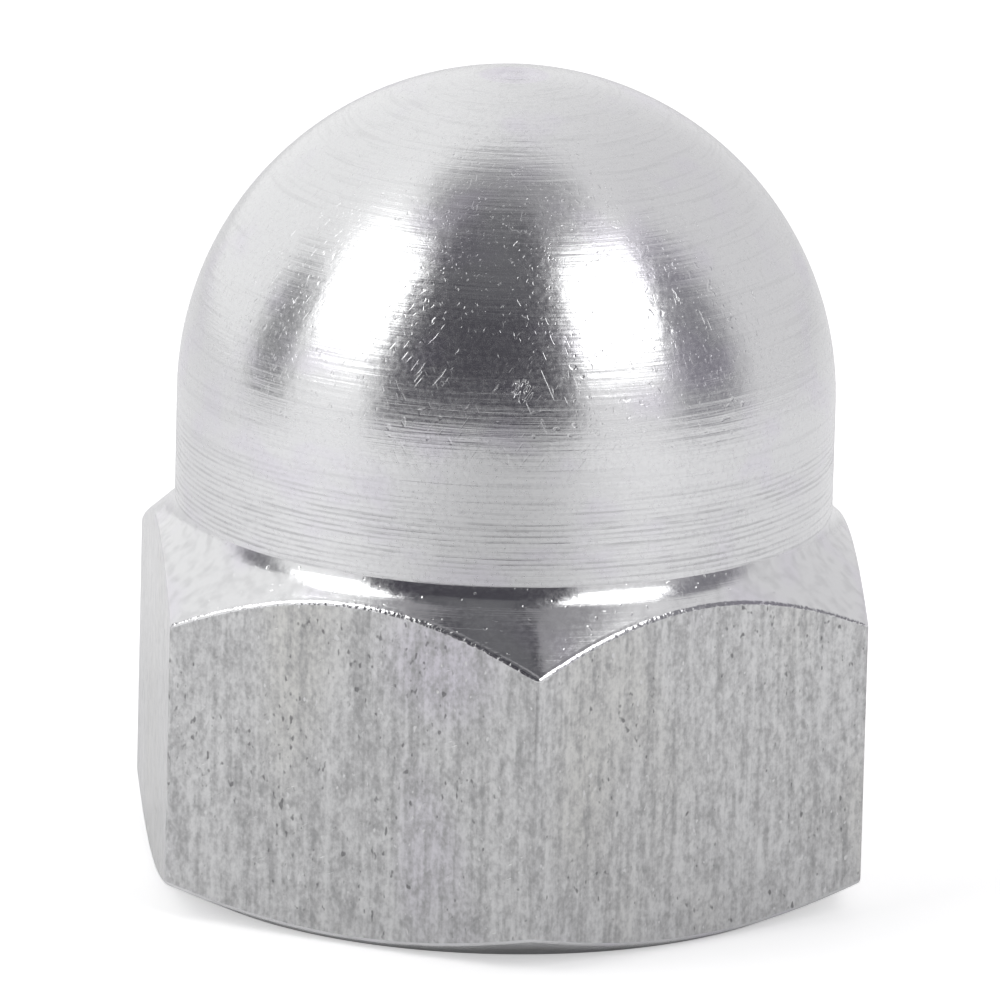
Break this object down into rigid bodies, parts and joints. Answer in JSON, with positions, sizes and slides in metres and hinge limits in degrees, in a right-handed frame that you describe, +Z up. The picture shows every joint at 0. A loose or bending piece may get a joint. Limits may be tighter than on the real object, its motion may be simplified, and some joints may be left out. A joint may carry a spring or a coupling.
{
  "type": "cap nut",
  "caption": "Hexagonal cap nut with a high round crown over a blind threaded hole, turned from bare aluminium bar.",
  "frame": {"origin": "centre of the bearing face, on the thread's axis", "axes": "+Z up along the thread's axis, from the bearing face to the tip of the crown; +X normal to one flat; +Y through one corner of the hexagon"},
  "size_m": [0.019, 0.022, 0.0222],
  "materials": {
    "bare_aluminium": "bare aluminium: satin turned crown and chamfers with fine circular tool marks, matt drawn flats with lengthwise die lines"
  },
  "bodies": {
    "root": {"cap_nut": "bare_aluminium"}
  },
  "joints": []
}
